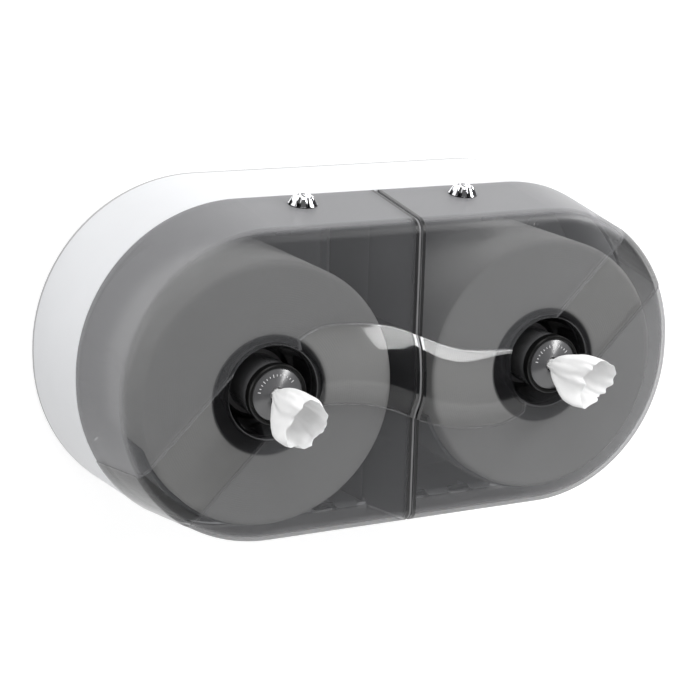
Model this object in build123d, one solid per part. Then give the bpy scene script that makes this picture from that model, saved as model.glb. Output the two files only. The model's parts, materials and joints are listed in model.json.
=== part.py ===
from build123d import *
import math
import os

# Twin centre-feed tissue dispenser for a wall, in millimetres.
# The origin is the centre of the back face, which lies on the wall. X runs to the right
# as seen from the front, Z is up, and the front faces -Y.
# A depth is a distance in front of the wall, and an inset is measured in from the outline.

os.makedirs("parts", exist_ok=True)

SIDES = {"left": -1, "right": 1}

# Case outline on the wall
case_width = 508.0
case_height = 274.0
case_end_flat = 5.2

# Rear housing
parting_depth = 88.0
housing_draft_deg = 3.8
back_wall = 3.5
housing_wall = 3.0

# Covers
front_depth = 164.5
cover_draft_deg = 8.4
cover_wall = 3.0
front_round = 11.0
parting_gap = 0.6
end_wall = 2.5
seam_clearance = 1.0

# Raised wave across both covers
band_step = 0.8
wave_height = 8.8
wave_end_height = 4.5
wave_reach = 100.0
wave_fade_start = 70.0
wave_fade_rate = 0.011
wave_edge_mid = 29.0
wave_edge_swing = 17.5
wave_edge_shift = 5.0
wave_edge_length = 38.0
wave_root = 4.5
arm_width = 57.3
arm_length = 190.0
arm_offset = 6.7
arm_angle_deg = 45.0
# The wave has a steep upper flank, a nearly flat top and a lower flank, with creases between
flank_width = 8.8
flank_end_width = 1.5
flank_middle_x = 18.0
flank_spread = 45.0
flank_rise = 0.6
lower_flank_width = 24.0
# Points of the top and of the lower flank: share of the way down, share of their own rise
top_profile = ((0.35, 0.62), (0.72, 0.98), (1.0, 0.96))
lower_flank_profile = ((0.0, 1.0), (0.3, 0.87), (0.62, 0.44), (1.0, 0.0))
wave_stations = (-1.0, -0.85, -0.62, -0.32, 0.0, 0.32, 0.62, 0.85, 1.0)

# Bowls
bowl_inset = 7.0
bowl_z = -2.0
bowl_rim_radius = 37.0
bowl_lead_radius = 35.5
bowl_lead_depth = 2.5
bowl_collar_radius = 34.5
bowl_collar_depth = 8.0
bowl_floor_radius = 28.0
bowl_floor_round = 2.0
bowl_floor_depth = 35.0
bowl_wall = 2.5

# Feed nozzles
barrel_radius = 22.5
barrel_bore_radius = 18.5
barrel_front_depth = 168.5
barrel_flange_radius = 25.5
barrel_flange = 2.0
barrel_tail = 5.5
nozzle_fit = 0.1
nozzle_disc_radius = 20.5
nozzle_disc_thickness = 2.5
feed_hole_radius = 5.5
ring_width = 2.9
ring_skirt_length = 3.5
ring_proud = 0.8
ring_fit = 0.1
nozzle_nut_radius = 26.0
nozzle_nut_thickness = 4.5
nozzle_nut_notches = 6
nozzle_nut_notch_radius = 2.0

# Locks on the top of the covers
lock_mid_x = -3.5
lock_half_spacing = 70.0
lock_depth = 110.0
bezel_flange_radius = 11.6
bezel_flange = 0.6
bezel_base_radius = 11.2
bezel_top_radius = 8.0
bezel_height = 6.8
bezel_flutes = 8
bezel_flute_radius = 2.4
sleeve_radius = 7.9
sleeve_length = 13.0
lock_fit = 0.1
plug_radius = 5.0
plug_fit = 0.05
plug_recess = 0.4
key_slot_width = 1.3
key_slot_length = 6.0
key_slot_depth = 6.0
lock_nut_radius = 11.0
lock_nut_thickness = 4.0
tail_gap = 0.4
tail_side = 6.0
tail_length = 2.4
cam_thickness = 2.6
cam_fit = 0.05
cam_hub_radius = 7.0
cam_reach = 22.0
cam_width = 9.0
cam_screw_radius = 1.45
cam_screw_head_radius = 4.6
cam_screw_head = 1.8
cam_screw_length = 7.0

# Strikes on the housing
strike_offset = 20.0
strike_width = 12.0
strike_thickness = 3.0
strike_drop = 16.0
strike_lip_height = 14.0
strike_lip_gap = 2.5
strike_back_depth = 64.0
strike_block_front_depth = 86.0
strike_screw_depths = (70.0, 80.0)

# Hinges at the bottom of the covers
hinge_depth = 92.0
hinge_rise = 4.0
knuckle_radius = 4.0
knuckle_count = 5
knuckle_length = 20.0
knuckle_gap = 0.4
knuckle_start_x = 12.0
knuckle_web = 4.2
housing_relief = 0.6
cover_relief = 1.5
cover_relief_end_x = 175.0
hinge_pin_radius = 1.6
hinge_pin_fit = 0.05
hinge_pin_head_radius = 2.6
hinge_pin_head = 1.2

# Tissue rolls and their cradles
roll_room = 30.0
roll_bore_radius = 45.0
roll_front_gap = 6.8
roll_z = -6.0
roll_edge = 1.5
soft_gap = 0.3
cradle_plate = 4.0
cradle_boss_depth = 20.0
cradle_wall = 3.0
cradle_front_depth = 146.0
cradle_half_angle_deg = 70.0
cradle_plate_top = 12.0
cradle_hole_radius = 30.0
cradle_boss_radius = 6.5
cradle_screw_inset = 26.0
cradle_screw_angles_deg = (205.0, 270.0, 335.0)

# Screws
screw_radius = 1.9
screw_fit = 0.08
screw_head_radius = 3.6
screw_head = 2.2
screw_grip = 9.0

# Divider between the two chambers
blade_thickness = 1.5
web_thickness = 6.0
blade_lap = 4.0
divider_recess = 1.2
divider_clearance = 0.4
divider_fit = 0.1
divider_rib = 2.5
divider_rib_depth = 16.0

# Wall mounting holes, one pair to each stud at 16 inch spacing
mount_end_distance = 50.8
mount_spacing_z = 150.0
mount_hole_radius = 2.75
mount_boss_radius = 8.0
mount_boss_depth = 7.0

# Tissue tails
neck_radius = 4.6
neck_back_depth = 152.0
tail_thickness = 2.4
tail_points = 9

# Sizes that follow from those above
case_corner_radius = (case_height - case_end_flat) / 2
bowl_x = case_width / 4 - bowl_inset
housing_slope = math.tan(math.radians(housing_draft_deg))
cover_slope = math.tan(math.radians(cover_draft_deg))
parting_inset = parting_depth * housing_slope
seam_half = blade_thickness / 2 + seam_clearance
bowl_floor_wall = cover_wall
floor_back_depth = front_depth - bowl_floor_depth - bowl_floor_wall
disc_front_depth = barrel_front_depth + nozzle_disc_thickness
hinge_z = parting_inset - case_height / 2 + hinge_rise
hinge_bore_radius = hinge_pin_radius + hinge_pin_fit
strike_top_z = case_height / 2 - strike_drop
strike_lip_bottom_z = strike_top_z - strike_lip_height
mount_spacing_x = case_width - 2 * mount_end_distance
roll_radius = (case_width / 4 + case_height / 2) / 2 - roll_room
roll_back_depth = cradle_boss_depth + cradle_plate + soft_gap
roll_front_depth = front_depth - roll_front_gap
cradle_screw_circle = roll_radius - cradle_screw_inset
cradle_inner_radius = roll_radius + soft_gap
cradle_outer_radius = cradle_inner_radius + cradle_wall
far = 2 * case_width


def facing(x, z, depth=0.0):
    """A plane at a depth that faces the front, with its Z axis along the depth."""
    return Plane(origin=(x, -depth, z), x_dir=(1, 0, 0), z_dir=(0, -1, 0))


def turned(*points):
    """A solid turned about Z from (radius, height) points."""
    outline = Plane.XZ * make_face(Polyline(*points, close=True))
    return revolve(outline, axis=Axis.Z)


def tube(outer, inner, bottom, top):
    """A tube about Z between two heights."""
    return turned((inner, bottom), (outer, bottom), (outer, top), (inner, top))


def rod(radius, bottom, top):
    """A round bar about Z between two heights."""
    return turned((0, bottom), (radius, bottom), (radius, top), (0, top))


def block(x_range, depth_range, z_range):
    """A box from its ranges in X, in depth and in Z."""
    x_low, x_high = sorted(x_range)
    near, deep = sorted(depth_range)
    z_low, z_high = sorted(z_range)
    centre = Pos((x_low + x_high) / 2, -(near + deep) / 2, (z_low + z_high) / 2)
    return centre * Box(x_high - x_low, deep - near, z_high - z_low)


def x_rod(radius, x_from, x_to, depth, z):
    """A round bar along X."""
    start = Plane(origin=(min(x_from, x_to), -depth, z), x_dir=(0, 1, 0), z_dir=(1, 0, 0))
    return start.location * rod(radius, 0, abs(x_to - x_from))


def drafted(depth_a, inset_a, depth_b, slope):
    """The case outline carried from one depth to another, drawn in at a slope."""
    outline = RectangleRounded(
        case_width - 2 * inset_a, case_height - 2 * inset_a, case_corner_radius - inset_a
    )
    taper = math.degrees(math.atan(slope))
    return extrude(Plane.XZ.offset(depth_a) * outline, amount=depth_b - depth_a, taper=taper)


def cover_inset(depth):
    """How far the covers' side lies inside the outline on the wall."""
    return parting_inset + (depth - parting_depth) * cover_slope


def cover_block(start_depth, grow):
    """Both covers as one solid block, with its outer faces moved out by grow."""
    body = drafted(start_depth, cover_inset(start_depth) - grow, front_depth + grow, cover_slope)
    front_edges = body.faces().sort_by(Axis.Y)[0].edges()
    return fillet(front_edges, front_round + grow)


def wave_upper_edge(x):
    """Height of the wave's upper edge at a place across the front."""
    z = wave_edge_mid - wave_edge_swing * math.tanh((x - wave_edge_shift) / wave_edge_length)
    beyond = max(0.0, -x - wave_fade_start)
    return z - wave_fade_rate * beyond**2


def wave_lower_edge(x):
    """The lower edge is the upper one turned half round about the bowls' mid point."""
    return 2 * bowl_z - wave_upper_edge(-x)


def upper_flank_width(x):
    """The upper flank is widest near the seam and dies away towards both bowls."""
    return flank_end_width + flank_width * math.exp(-(((x - flank_middle_x) / flank_spread) ** 2))


def wave_section(share, lift):
    """Outline of the wave at a share of its reach, moved out by lift."""
    x = share * wave_reach
    base = front_depth + lift
    upper = wave_upper_edge(x)
    lower = wave_lower_edge(x)
    height = wave_end_height + (wave_height - wave_end_height) * math.cos(share * math.pi / 2)
    flank_foot = upper - upper_flank_width(x)
    flank_height = flank_rise * upper_flank_width(x)
    lower_crease = lower + lower_flank_width

    def place(rise, z):
        return Vector(x, -(base + band_step + rise), z)

    top = [place(flank_height, flank_foot)]
    for part, reach in top_profile:
        rise = flank_height + reach * (height - flank_height)
        top.append(place(rise, flank_foot + part * (lower_crease - flank_foot)))
    crease_rise = flank_height + top_profile[-1][1] * (height - flank_height)
    lower_flank = [
        place(reach * crease_rise, lower_crease - part * lower_flank_width)
        for part, reach in lower_flank_profile
    ]
    foot_upper = Vector(x, -(base - wave_root), upper)
    foot_lower = Vector(x, -(base - wave_root), lower)
    edges = [
        Edge.make_line(foot_upper, place(0.0, upper)),
        Edge.make_line(place(0.0, upper), top[0]),
        Edge.make_spline(top),
        Edge.make_spline(lower_flank),
        Edge.make_line(lower_flank[-1], foot_lower),
        Edge.make_line(foot_lower, foot_upper),
    ]
    return Wire(edges)


def wave(lift):
    """The sculpted wave between the two bowls."""
    return Solid.make_loft([wave_section(share, lift) for share in wave_stations])


def arm_prism(side):
    """The wave's straight arm from a bowl to the corner, as a prism along the depth."""
    turn = 0.0 if side == "left" else 180.0
    strip = Pos(-arm_length / 2, arm_offset) * Rectangle(arm_length, arm_width)
    outline = Rot(0, 0, turn) * Pos(-bowl_x, 0) * Rot(0, 0, arm_angle_deg) * strip
    return extrude(facing(0, bowl_z, 0).location * outline, amount=front_depth + far)


def covers_outer():
    """Outer form of both covers, before they are hollowed and parted."""
    start = parting_depth + parting_gap
    body = cover_block(start, 0.0)
    raised = cover_block(start, band_step)
    for side in SIDES:
        body = body + (raised & arm_prism(side))
    return body + wave(0.0)


def covers_inner():
    """The hollow inside both covers."""
    return cover_block(parting_depth - cover_wall, -cover_wall) + wave(-cover_wall - band_step)


def bowl_cavity():
    """The open bowl about Z, which runs along the depth."""
    deep = front_depth - bowl_floor_depth
    out = front_depth + wave_height + 2 * band_step
    flare = (bowl_rim_radius - bowl_lead_radius) / bowl_lead_depth / 4
    return turned(
        (0, deep),
        (bowl_floor_radius - bowl_floor_round, deep),
        (bowl_floor_radius, deep + bowl_floor_round),
        (bowl_collar_radius, front_depth - bowl_collar_depth),
        (bowl_lead_radius, front_depth - bowl_lead_depth),
        (bowl_rim_radius, front_depth),
        (bowl_rim_radius + flare * (out - front_depth), out),
        (0, out),
    )


def bowl_back():
    """The bowl's hidden side: its cavity with the wall added."""
    deep = floor_back_depth
    collar = front_depth - bowl_collar_depth - bowl_wall / 2
    return turned(
        (0, deep),
        (bowl_floor_radius + bowl_wall - bowl_floor_round, deep),
        (bowl_floor_radius + bowl_wall, deep + bowl_floor_round),
        (bowl_collar_radius + bowl_wall, collar),
        (bowl_lead_radius + bowl_wall, front_depth - bowl_lead_depth - bowl_wall / 2),
        (bowl_rim_radius + bowl_wall, front_depth - bowl_wall / 2),
        (bowl_rim_radius + bowl_wall, front_depth + far),
        (0, front_depth + far),
    )


def knuckle_span(index, sign):
    """X range of one hinge knuckle, counted outwards from the centre."""
    start = knuckle_start_x + index * (knuckle_length + knuckle_gap)
    return sign * start, sign * (start + knuckle_length)


def knuckle(index, sign, web_depth, web_drop=0.0):
    """One knuckle with its web, before the pin's bore."""
    x_range = knuckle_span(index, sign)
    web_low = hinge_z - knuckle_web / 2 - web_drop
    web = block(x_range, (hinge_depth, web_depth), (web_low, hinge_z + knuckle_web / 2))
    return x_rod(knuckle_radius, *x_range, hinge_depth, hinge_z) + web


def hinge_bore(sign):
    """The pin's bore through every knuckle of one cover."""
    end = knuckle_start_x + knuckle_count * (knuckle_length + knuckle_gap)
    return x_rod(hinge_bore_radius, sign * (knuckle_start_x - 1), sign * (end + 1), hinge_depth, hinge_z)


def lock_x(sign):
    return lock_mid_x + sign * lock_half_spacing


def lock_plane(sign):
    """Plane on the cover's top side at a lock, with its Z axis square to that side."""
    tilt = math.radians(cover_draft_deg)
    z = case_height / 2 - cover_inset(lock_depth)
    normal = (0, -math.sin(tilt), math.cos(tilt))
    return Plane(origin=(lock_x(sign), -lock_depth, z), x_dir=(1, 0, 0), z_dir=normal)


def strike_x(sign):
    return lock_x(sign) + sign * strike_offset


def cradle_screw_places(sign):
    """X and Z of one cradle's screws."""
    return [
        (
            sign * bowl_x + cradle_screw_circle * math.cos(math.radians(angle)),
            roll_z + cradle_screw_circle * math.sin(math.radians(angle)),
        )
        for angle in cradle_screw_angles_deg
    ]


def mount_places():
    """X and Z of the wall mounting holes."""
    return [
        (x * mount_spacing_x / 2, z * mount_spacing_z / 2) for x in (-1, 1) for z in (-1, 1)
    ]


def rear_housing():
    """The white tray on the wall, with bosses, strike blocks and hinge knuckles."""
    inner_inset = housing_wall + back_wall * housing_slope
    tray = drafted(0, 0, parting_depth, housing_slope)
    tray -= drafted(back_wall, inner_inset, parting_depth + 1, housing_slope)
    for x, z in mount_places():
        tray += facing(x, z).location * rod(mount_boss_radius, back_wall / 2, mount_boss_depth)
    for sign in SIDES.values():
        for x, z in cradle_screw_places(sign):
            tray += facing(x, z).location * rod(cradle_boss_radius, back_wall / 2, cradle_boss_depth)
        tray += strike_block(sign)
        rib_in = web_thickness / 2 + divider_fit
        tray += block(
            (sign * rib_in, sign * (rib_in + divider_rib)),
            (back_wall / 2, divider_rib_depth),
            (-case_height / 3, case_height / 3),
        )
    for x, z in mount_places():
        tray -= facing(x, z).location * rod(mount_hole_radius, -1, mount_boss_depth + 1)
    for sign in SIDES.values():
        pilot = screw_radius + screw_fit
        for x, z in cradle_screw_places(sign):
            tray -= facing(x, z).location * rod(pilot, back_wall, cradle_boss_depth + 1)
        for depth in strike_screw_depths:
            tray -= Pos(strike_x(sign), -depth, strike_top_z) * rod(pilot, -1, screw_grip)
        relief_end = sign * (knuckle_start_x + knuckle_count * (knuckle_length + knuckle_gap) + 2)
        relief_start = sign * (knuckle_start_x - 2)
        relief = knuckle_radius + housing_relief
        tray -= x_rod(relief, relief_start, relief_end, hinge_depth, hinge_z)
        for index in range(0, knuckle_count, 2):
            tray += knuckle(index, sign, parting_depth - knuckle_web)
            x_range = knuckle_span(index, sign)
            foot_low = hinge_z - hinge_rise + housing_wall / 2
            foot_depths = (parting_depth - 0.5, parting_depth - 3 * knuckle_web)
            tray += block(x_range, foot_depths, (foot_low, hinge_z + knuckle_web / 2))
        tray -= hinge_bore(sign)
    return tray


def strike_block(sign):
    """A block under the housing's top that a strike is screwed to."""
    top_z = case_height / 2 - strike_back_depth * housing_slope - housing_wall / 2
    half = strike_width / 2
    x = strike_x(sign)
    depths = (strike_back_depth, strike_block_front_depth)
    hung = block((x - half, x + half), depths, (strike_top_z, top_z))
    return hung & drafted(0, housing_wall / 2, parting_depth, housing_slope)


def divider():
    """The wall between the chambers, with a thin blade that shows in the seam."""
    inner = housing_wall + divider_clearance
    core_end = parting_depth + blade_lap
    core = drafted(back_wall, inner + back_wall * housing_slope, core_end, housing_slope)
    web = core & block((-web_thickness / 2, web_thickness / 2), (0, parting_depth), (-far, far))
    recess = -divider_recess
    blade = core + cover_block(parting_depth + parting_gap, recess) + wave(recess)
    blade &= block((-blade_thickness / 2, blade_thickness / 2), (0, far), (-far, far))
    return web + blade


def cover(side, outer, inner):
    """One smoke cover with its bowl, end wall, lock hole and hinge knuckles."""
    sign = SIDES[side]
    bowl_at = facing(sign * bowl_x, bowl_z).location
    shell = outer & block((sign * seam_half, sign * far), (0, far), (-far, far))
    hollow = inner & block((sign * (seam_half + end_wall), sign * far), (0, far), (-far, far))
    shell -= hollow - bowl_at * bowl_back()
    shell -= bowl_at * bowl_cavity()
    hole = barrel_radius + nozzle_fit
    shell -= bowl_at * rod(hole, floor_back_depth - 1, front_depth - bowl_floor_depth + 1)
    shell -= lock_plane(sign).location * rod(sleeve_radius + lock_fit, -2 * cover_wall, cover_wall)
    relief = knuckle_radius + cover_relief
    shell -= x_rod(relief, sign * seam_half / 2, sign * cover_relief_end_x, hinge_depth, hinge_z)
    for index in range(1, knuckle_count, 2):
        shell += knuckle(index, sign, hinge_depth + relief + cover_wall)
    return shell - hinge_bore(sign)


def nozzle_barrel():
    """The feed tube, with a flange on the bowl's floor and a tail for its nut."""
    floor = front_depth - bowl_floor_depth
    tail = floor_back_depth - barrel_tail
    return turned(
        (barrel_bore_radius, tail),
        (barrel_radius, tail),
        (barrel_radius, floor),
        (barrel_flange_radius, floor),
        (barrel_flange_radius, floor + barrel_flange / 2),
        (barrel_radius, floor + barrel_flange),
        (barrel_radius, barrel_front_depth),
        (barrel_bore_radius, barrel_front_depth),
    )


def nozzle_disc():
    """The front disc with the hole that the tissue comes out of."""
    rim = 0.6
    return turned(
        (feed_hole_radius + rim, barrel_front_depth),
        (nozzle_disc_radius, barrel_front_depth),
        (nozzle_disc_radius, disc_front_depth - rim),
        (nozzle_disc_radius - rim, disc_front_depth),
        (feed_hole_radius + rim, disc_front_depth),
        (feed_hole_radius, disc_front_depth - rim),
        (feed_hole_radius, barrel_front_depth + rim),
    )


def nozzle_ring():
    """The black ring round the disc, with a skirt over the barrel's end."""
    inner = nozzle_disc_radius + ring_fit
    outer = inner + ring_width
    front = disc_front_depth + ring_proud
    skirt_inner = barrel_radius + ring_fit
    edge = 0.8
    return turned(
        (inner, barrel_front_depth),
        (skirt_inner, barrel_front_depth),
        (skirt_inner, barrel_front_depth - ring_skirt_length),
        (outer, barrel_front_depth - ring_skirt_length),
        (outer, front - edge),
        (outer - edge, front),
        (inner + edge, front),
        (inner, front - edge),
    )


def nozzle_nut():
    """The notched nut that clamps the barrel behind the bowl's floor."""
    top = floor_back_depth
    nut = tube(nozzle_nut_radius, barrel_radius + nozzle_fit, top - nozzle_nut_thickness, top)
    for index in range(nozzle_nut_notches):
        notch = Pos(nozzle_nut_radius, 0) * rod(nozzle_nut_notch_radius, 0, front_depth)
        nut -= Rot(0, 0, index * 360 / nozzle_nut_notches) * notch
    return nut


def lock_bezel():
    """The chrome fluted boss on the cover, with its sleeve through the wall."""
    bore = plug_radius + plug_fit
    edge = 0.8
    bezel = turned(
        (bore, -sleeve_length),
        (sleeve_radius, -sleeve_length),
        (sleeve_radius, 0),
        (bezel_flange_radius, 0),
        (bezel_flange_radius, bezel_flange),
        (bezel_base_radius, bezel_flange),
        (bezel_top_radius, bezel_height - edge),
        (bezel_top_radius - edge, bezel_height),
        (bore, bezel_height),
    )
    lean = (bezel_base_radius - bezel_top_radius) / (bezel_height - bezel_flange)
    tilt = math.atan(lean)
    start = Plane(
        origin=(bezel_base_radius + bezel_flute_radius / 3, 0, bezel_flange),
        x_dir=(math.cos(tilt), 0, math.sin(tilt)),
        z_dir=(-math.sin(tilt), 0, math.cos(tilt)),
    )
    flute = start.location * rod(bezel_flute_radius, 0, 2 * bezel_height)
    above = Pos(0, 0, bezel_flange) * rod(far, 0, far)
    for index in range(bezel_flutes):
        bezel -= Rot(0, 0, index * 360 / bezel_flutes) * flute & above
    return bezel


def lock_plug():
    """The turning core with its key slot and square tail."""
    shoulder = -sleeve_length - tail_gap
    plug = rod(plug_radius, shoulder, bezel_height - plug_recess)
    slot_centre = bezel_height - plug_recess - key_slot_depth / 2
    plug -= Pos(0, 0, slot_centre) * Box(key_slot_width, key_slot_length, key_slot_depth)
    plug += Pos(0, 0, shoulder - tail_length / 2) * Box(tail_side, tail_side, tail_length)
    return plug - rod(cam_screw_radius + cam_fit, shoulder - 2 * tail_length, cam_screw_tip())


def cam_screw_top():
    """Height of the cam screw's head, where it presses the cam on the plug's shoulder."""
    return -sleeve_length - tail_gap - cam_thickness


def cam_screw_tip():
    return cam_screw_top() + cam_screw_length


def lock_cam():
    """The latch arm on the plug's tail; at rest it points to the wall."""
    arm = Circle(cam_hub_radius)
    arm += Pos(0, (cam_reach - cam_width / 2) / 2) * Rectangle(cam_width, cam_reach - cam_width / 2)
    arm += Pos(0, cam_reach - cam_width / 2) * Circle(cam_width / 2)
    hole = tail_side + 2 * cam_fit
    arm -= Rectangle(hole, hole)
    return Pos(0, 0, cam_screw_top()) * extrude(arm, amount=cam_thickness)


def cam_screw():
    """The small screw that holds the cam on the plug."""
    head = rod(cam_screw_head_radius, cam_screw_top() - cam_screw_head, cam_screw_top())
    return head + rod(cam_screw_radius, cam_screw_top() - cam_screw_head, cam_screw_tip() - 0.5)


def lock_nut():
    """The hexagonal nut that clamps the lock under the cover's wall."""
    flats = extrude(RegularPolygon(lock_nut_radius, 6), amount=-lock_nut_thickness)
    return Pos(0, 0, -cover_wall) * (flats - rod(sleeve_radius + lock_fit, -far, far))


def strike(sign):
    """The hooked plate that the locked cam bears on."""
    x = strike_x(sign)
    x_range = (x - strike_width / 2, x + strike_width / 2)
    lip_back = lock_depth + cam_width / 2 + strike_lip_gap
    lip_front = lip_back + strike_thickness
    plate = block(x_range, (strike_back_depth, lip_front), (strike_top_z - strike_thickness, strike_top_z))
    plate += block(x_range, (lip_back, lip_front), (strike_lip_bottom_z, strike_top_z))
    for depth in strike_screw_depths:
        plate -= Pos(x, -depth, strike_top_z) * rod(screw_radius + screw_fit, -far, 1)
    return plate


def strike_screws():
    """Screws of both strikes."""
    screws = []
    for sign in SIDES.values():
        for depth in strike_screw_depths:
            base = Pos(strike_x(sign), -depth, strike_top_z - strike_thickness)
            shank = rod(screw_radius, -1, strike_thickness + screw_grip - 1)
            screws.append(base * (rod(screw_head_radius, -screw_head, 0) + shank))
    return Compound(screws)


def cradle(sign):
    """The half bucket that carries a roll on the housing's bosses."""
    at = facing(sign * bowl_x, roll_z).location
    plate_front = cradle_boss_depth + cradle_plate
    shelf = tube(cradle_outer_radius, cradle_inner_radius, cradle_boss_depth, cradle_front_depth)
    half = math.radians(cradle_half_angle_deg)
    reach = 2 * cradle_outer_radius
    wedge = make_face(
        Polyline(
            (0, 0),
            (-reach * math.sin(half), -reach * math.cos(half)),
            (0, -2 * reach),
            (reach * math.sin(half), -reach * math.cos(half)),
            close=True,
        )
    )
    shelf &= extrude(wedge, amount=far)
    plate = rod(cradle_outer_radius, cradle_boss_depth, plate_front)
    low = Pos(0, cradle_plate_top - cradle_outer_radius, 0) * Box(
        far, 2 * cradle_outer_radius, far
    )
    plate = plate & low
    bucket = at * (plate + shelf - rod(cradle_hole_radius, 0, plate_front + 1))
    for x, z in cradle_screw_places(sign):
        bucket -= facing(x, z).location * rod(screw_radius + screw_fit, 0, plate_front + 1)
        head = rod(screw_head_radius + screw_fit, plate_front - screw_head, plate_front + 1)
        bucket -= facing(x, z).location * head
    return bucket


def cradle_screws():
    """Screws of both cradles, sunk into their plates."""
    top = cradle_boss_depth + cradle_plate
    seat = top - screw_head
    screws = []
    for sign in SIDES.values():
        for x, z in cradle_screw_places(sign):
            screw = rod(screw_head_radius, seat, top) + rod(screw_radius, seat - screw_grip, top)
            screws.append(facing(x, z).location * screw)
    return Compound(screws)


def tissue_roll():
    """The wound tissue with its open centre."""
    back = roll_back_depth
    front = roll_front_depth
    return turned(
        (roll_bore_radius, back),
        (roll_radius - roll_edge, back),
        (roll_radius, back + roll_edge),
        (roll_radius, front - roll_edge),
        (roll_radius - roll_edge, front),
        (roll_bore_radius, front),
    )


def hinge_pin(sign):
    """The pin through the knuckles, with its head at the outer end."""
    end = knuckle_start_x + knuckle_count * (knuckle_length + knuckle_gap) - knuckle_gap
    seat = end + knuckle_gap / 2
    pin = x_rod(hinge_pin_radius, sign * knuckle_start_x, sign * seat, hinge_depth, hinge_z)
    head_end = seat + hinge_pin_head
    return pin + x_rod(hinge_pin_head_radius, sign * seat, sign * head_end, hinge_depth, hinge_z)


def tail_section(centre, across, up, half_height, fold, folds, phase):
    """A folded strip's outline: its two faces follow the same zigzag."""
    points = []
    for face in (-1, 1):
        row = []
        for index in range(tail_points):
            share = index / (tail_points - 1) * 2 - 1
            sway = fold * math.sin(folds * math.pi * share + phase)
            place = centre + up * (share * half_height) + across * (sway + face * tail_thickness / 2)
            row.append(place)
        points += row if face < 0 else row[::-1]
    return Wire.make_polygon(points, close=True)


def tail_neck():
    """The gathered tissue inside the barrel and the feed hole."""
    return rod(neck_radius, neck_back_depth, disc_front_depth + ring_proud)


def tissue_tail(sign, run):
    """A gathered neck and a folded flag, through sections placed along the tail's run."""
    start = Vector(sign * bowl_x, -(disc_front_depth - ring_proud), bowl_z)
    sections = []
    for forward, right, rise, half_height, fold, lean in run:
        centre = start + Vector(right, -forward, rise)
        across = Vector(math.cos(math.radians(lean)), -math.sin(math.radians(lean)), 0).normalized()
        sections.append(
            tail_section(centre, across, Vector(0, 0, 1), half_height, fold, 2.0, 0.6)
        )
    flag = Solid.make_loft(sections, ruled=True)
    neck = facing(sign * bowl_x, bowl_z).location * tail_neck()
    return neck + flag


# Each row of a tail's run: forward, right, rise, half height, fold depth and lean of the folds
left_run = (
    (0.0, 0.0, 0.0, 3.6, 1.0, 0.0),
    (14.0, 1.5, -3.0, 12.0, 3.0, 10.0),
    (30.0, 6.0, -12.0, 19.0, 4.5, 15.0),
    (42.0, 12.0, -22.0, 15.0, 3.0, 20.0),
)
right_run = (
    (0.0, 0.0, 0.0, 3.6, 1.0, 0.0),
    (10.0, 9.0, -1.5, 8.0, 2.0, -35.0),
    (20.0, 22.0, -4.5, 14.0, 3.0, -40.0),
    (30.0, 36.0, -7.0, 17.0, 3.0, -40.0),
)


def build():
    """Every sub-part by name."""
    parts = {"rear_housing": rear_housing(), "centre_divider": divider()}
    outer = covers_outer()
    inner = covers_inner()
    for side, sign in SIDES.items():
        bowl_at = facing(sign * bowl_x, bowl_z).location
        lock_at = lock_plane(sign).location
        parts[f"{side}_cover"] = cover(side, outer, inner)
        parts[f"{side}_nozzle_barrel"] = bowl_at * nozzle_barrel()
        parts[f"{side}_nozzle_disc"] = bowl_at * nozzle_disc()
        parts[f"{side}_nozzle_ring"] = bowl_at * nozzle_ring()
        parts[f"{side}_nozzle_nut"] = bowl_at * nozzle_nut()
        parts[f"{side}_lock_bezel"] = lock_at * lock_bezel()
        parts[f"{side}_lock_plug"] = lock_at * lock_plug()
        parts[f"{side}_lock_cam"] = lock_at * lock_cam()
        parts[f"{side}_cam_screw"] = lock_at * cam_screw()
        parts[f"{side}_lock_nut"] = lock_at * lock_nut()
        parts[f"{side}_lock_strike"] = strike(sign)
        parts[f"{side}_hinge_pin"] = hinge_pin(sign)
        parts[f"{side}_roll_cradle"] = cradle(sign)
        parts[f"{side}_tissue_roll"] = facing(sign * bowl_x, roll_z).location * tissue_roll()
    parts["left_tissue_tail"] = tissue_tail(-1, left_run)
    parts["right_tissue_tail"] = tissue_tail(1, right_run)
    parts["cradle_screws"] = cradle_screws()
    parts["strike_screws"] = strike_screws()
    return parts


for name, shape in build().items():
    export_step(shape, f"parts/{name}.step")
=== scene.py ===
"""Looks for a wall dispenser with two centre-feed tissue rolls behind hinged smoke covers."""

import json
import logging
import math
from dataclasses import dataclass, field
from enum import Enum
from typing import Callable

import bmesh
import bpy
from mathutils import Matrix, Vector, noise


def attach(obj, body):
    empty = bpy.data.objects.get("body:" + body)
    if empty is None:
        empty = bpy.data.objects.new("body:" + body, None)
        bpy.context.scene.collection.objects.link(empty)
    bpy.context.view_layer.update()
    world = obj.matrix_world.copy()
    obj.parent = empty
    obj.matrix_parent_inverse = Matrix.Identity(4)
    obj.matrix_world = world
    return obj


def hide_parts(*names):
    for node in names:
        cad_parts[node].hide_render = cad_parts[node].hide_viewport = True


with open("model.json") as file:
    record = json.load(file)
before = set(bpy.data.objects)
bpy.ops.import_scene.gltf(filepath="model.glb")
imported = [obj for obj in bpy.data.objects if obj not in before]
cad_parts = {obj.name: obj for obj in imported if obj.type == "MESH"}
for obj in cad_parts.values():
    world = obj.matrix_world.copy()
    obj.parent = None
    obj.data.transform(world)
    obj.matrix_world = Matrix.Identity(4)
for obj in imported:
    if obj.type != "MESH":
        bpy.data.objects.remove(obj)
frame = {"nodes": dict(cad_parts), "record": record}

log = logging.getLogger("dispenser")

Colour = tuple[float, float, float]
Socket = bpy.types.NodeSocket
MM = 0.001


class Side(Enum):
    """The two halves of the dispenser, by the sign of their X."""

    LEFT = -1
    RIGHT = 1

    @property
    def word(self) -> str:
        """Start of the names of this half's nodes."""
        return self.name.lower()


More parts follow.
